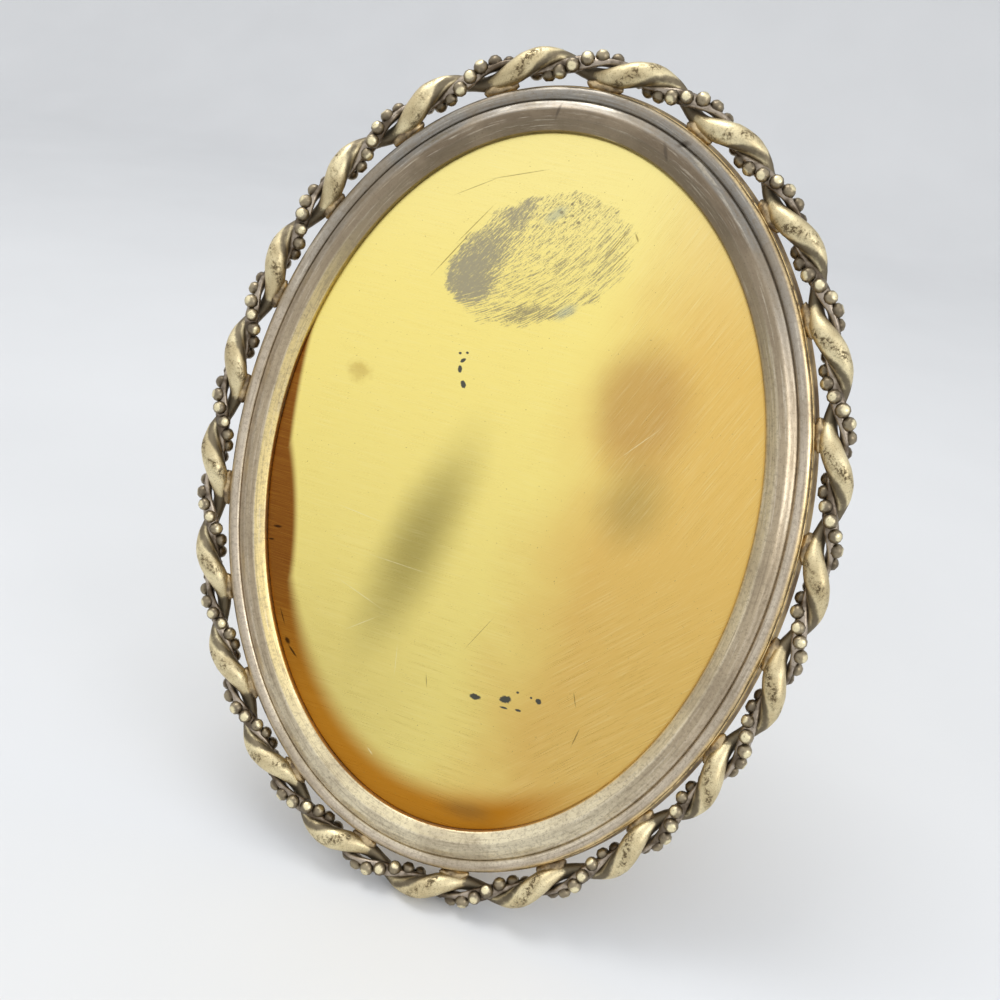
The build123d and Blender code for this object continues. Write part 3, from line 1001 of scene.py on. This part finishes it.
def gilt_plate():
    finish, shader = start_finish("gilt_plate")
    place = face_place(finish)
    parts = node(finish, "SeparateXYZ", (), {"Vector": place})
    right, high = parts.outputs[0], parts.outputs[1]
    scales = (0.06, 0.15, 0.4, 1.2)
    broad, coarse, ragged, uneven = (wandering(finish, place, scale) for scale in scales)
    tint = gilt_and_painted_reflections(finish, place, right, high, broad, ragged)
    lines = brush_lines(finish, place, right, high)
    bite = eased(finish, right, 6.0, 26.0, 0.24, 0.34)
    for limit, colour in ((0.72, (1.0, 0.92, 0.52)), (0.28, (0.50, 0.36, 0.10))):
        tint = mixed(finish, share_of(finish, eased(finish, lines, 0.50, limit), bite), tint, colour)
    brown, umber = brown_reflection_bands(finish, place, right, high, lines, ragged)
    tint = mixed(finish, brown, tint, umber)
    cover, dense = rubbed_patch(finish, place, coarse)
    grey = mixed(finish, dense, (0.31, 0.27, 0.17), (0.34, 0.31, 0.24))
    tint = mixed(finish, share_of(finish, cover, 0.88), tint, grey)
    tint = specked(finish, tint, place, coarse, ragged)
    plug(finish, shader.inputs["Base Color"], marked(finish, tint, place, uneven))
    rough = eased(finish, lines, 0.3, 0.7, 0.26, 0.38)
    plug(finish, shader.inputs["Roughness"], added(finish, rough, share_of(finish, cover, 0.2)))
    relief(finish, shader, lines, 0.02, 0.5)
    return finish


plate_finish = gilt_plate()
plate = frame["nodes"]["backing_pan"]
plate.data.materials.clear()
plate.data.materials.append(plate_finish)
print("finish", plate_finish.name, len(plate_finish.node_tree.nodes), "nodes")

# %% [markdown]
# The hardware on the back is plain sheet brass and steel wire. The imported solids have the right
# shapes but razor edges, so each is copied, merged, and given a small round on every sharp edge,
# which catches the light as a real stamped edge does.

# %% Softened copies of the hardware
def softened(name, finish, body, width=0.15):
    """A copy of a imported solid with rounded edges."""
    work = bmesh.new()
    work.from_mesh(frame["nodes"][name].data)
    bmesh.ops.remove_doubles(work, verts=work.verts, dist=0.005 * mm)
    bmesh.ops.dissolve_limit(
        work, angle_limit=math.radians(1.5), verts=work.verts, edges=work.edges
    )
    crease = math.radians(35)
    sharp = [edge for edge in work.edges if edge.is_manifold and edge.calc_face_angle() > crease]
    bmesh.ops.bevel(
        work,
        geom=sharp,
        offset=width * mm,
        offset_type="OFFSET",
        segments=2,
        profile=0.5,
        affect="EDGES",
        material=-1,
        clamp_overlap=True,
    )
    piece = keep_piece("soft_" + name, work, finish, body, Matrix.Identity(4), 35)
    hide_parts(name)
    return piece


fitting_finish = aged_brass("brass_fittings", (0.62, 0.48, 0.20), (0.40, 0.28, 0.11), 90.0, (0.3, 0.48))
leaf_finish = aged_brass("brass_leaf", (0.66, 0.51, 0.22), (0.46, 0.33, 0.13), 45.0, (0.3, 0.48))
pin_finish = aged_brass("steel_pins", (0.50, 0.49, 0.46), (0.26, 0.24, 0.21), 200.0, (0.3, 0.5))
for number in range(1, button_count + 1):
    button = f"turn_button_{number}"
    softened(button, fitting_finish, button)
softened("strut_bracket", fitting_finish, "frame")
softened("strut", leaf_finish, "strut", 0.25)
softened("button_rivets", pin_finish, "frame", 0.3)
softened("hinge_pin", pin_finish, "frame", 0.2)

# %% [markdown]
# The camera stands where the phone stood: a little above the face and to its right, about 24 cm
# away, and rolled, so the oval leans in the picture. Its place was worked out from four points of
# the sight edge, and it is given on the face plane.

# %% The camera
camera_place = Vector((48.38, 19.68, 236.10))
camera_forward = Vector((-0.2026, -0.0932, -0.9748))
camera_right = Vector((0.9524, 0.2130, -0.2183))
sensor_width = 36.0
focal_share = 0.98

camera_up = camera_right.cross(camera_forward)
view_axes = face_turn @ Matrix((camera_right, camera_up, -camera_forward)).transposed()
lens = bpy.data.cameras.new("camera")
lens.sensor_width = sensor_width
lens.lens = sensor_width * focal_share
lens.clip_start = 0.01
camera = bpy.data.objects.new("camera", lens)
camera.matrix_world = Matrix.Translation(to_frame @ camera_place) @ view_axes.to_4x4()
bpy.context.scene.collection.objects.link(camera)
bpy.context.scene.camera = camera
print("camera at", camera.location)

# %% [markdown]
# The set is a plain pale floor that sweeps up behind the frame, a pale world, and two soft lamps.
# Metal shows what is around it, so the world is brighter above than below: that gives the ring its
# light and dark sides, together with painted shade at its top and a painted highlight at its foot.

# %% Floor and backdrop
def pale_ground():
    finish, shader = start_finish("pale_ground", 0.0)
    place = object_place(finish)
    mottle = grain(finish, place, 9.0, 2.0, 0.5)
    tint = mixed(finish, mottle, (0.68, 0.69, 0.70), (0.74, 0.75, 0.76))
    plug(finish, shader.inputs["Base Color"], tint)
    shader.inputs["Roughness"].default_value = 0.6
    return finish


ground_half = 1.5
sweep_start = 0.9
sweep_radius = 0.5
wall_height = 1.5
ground = bmesh.new()
corners = [ground.verts.new((side * ground_half, -ground_half, 0)) for side in (-1, 1)]
edge = ground.edges.new(corners)
flat = bmesh.ops.extrude_edge_only(ground, edges=[edge])
moved = [part for part in flat["geom"] if isinstance(part, bmesh.types.BMVert)]
bmesh.ops.translate(ground, verts=moved, vec=(0, ground_half + sweep_start, 0))
rim = [part for part in flat["geom"] if isinstance(part, bmesh.types.BMEdge)]
curve = bmesh.ops.spin(
    ground,
    geom=moved + rim,
    cent=(0, sweep_start, sweep_radius),
    axis=(1, 0, 0),
    angle=math.pi / 2,
    steps=16,
)
last_edge = [part for part in curve["geom_last"] if isinstance(part, bmesh.types.BMEdge)]
wall = bmesh.ops.extrude_edge_only(ground, edges=last_edge)
wall_top = [part for part in wall["geom"] if isinstance(part, bmesh.types.BMVert)]
bmesh.ops.translate(ground, verts=wall_top, vec=(0, 0, wall_height))
ground_mesh = bpy.data.meshes.new("ground")
ground.to_mesh(ground_mesh)
ground.free()
ground_mesh.materials.append(pale_ground())
ground_mesh.shade_smooth()
ground_piece = bpy.data.objects.new("ground", ground_mesh)
bpy.context.scene.collection.objects.link(ground_piece)

# %% World and lamps
world = bpy.data.worlds.new("world")
bpy.context.scene.world = world
world.use_nodes = True
direction = node(world, "TexCoord").outputs["Generated"]
height = node(world, "SeparateXYZ", (), {"Vector": direction}).outputs[2]
sky = mixed(world, eased(world, height, -0.25, 0.42), (0.30, 0.29, 0.28), (0.94, 0.95, 0.97))
plug(world, world.node_tree.nodes["Background"].inputs["Color"], sky)
world.node_tree.nodes["Background"].inputs["Strength"].default_value = 1.06


def lamp(name, place, target, size, power):
    """A square soft lamp that faces a target."""
    light = bpy.data.lights.new(name, "AREA")
    light.size = size
    light.energy = power
    made = bpy.data.objects.new(name, light)
    made.location = place
    made.rotation_euler = (Vector(target) - Vector(place)).to_track_quat("-Z", "Y").to_euler()
    bpy.context.scene.collection.objects.link(made)
    return made


lamp("top_softbox", (-0.2, 0.1, 0.85), (0, 0, 0.1), 0.35, 2.0)
lamp("side_softbox", (0.8, -0.45, 0.5), (0, 0, 0.1), 0.35, 1.5)

bpy.context.scene.view_settings.view_transform = "Standard"
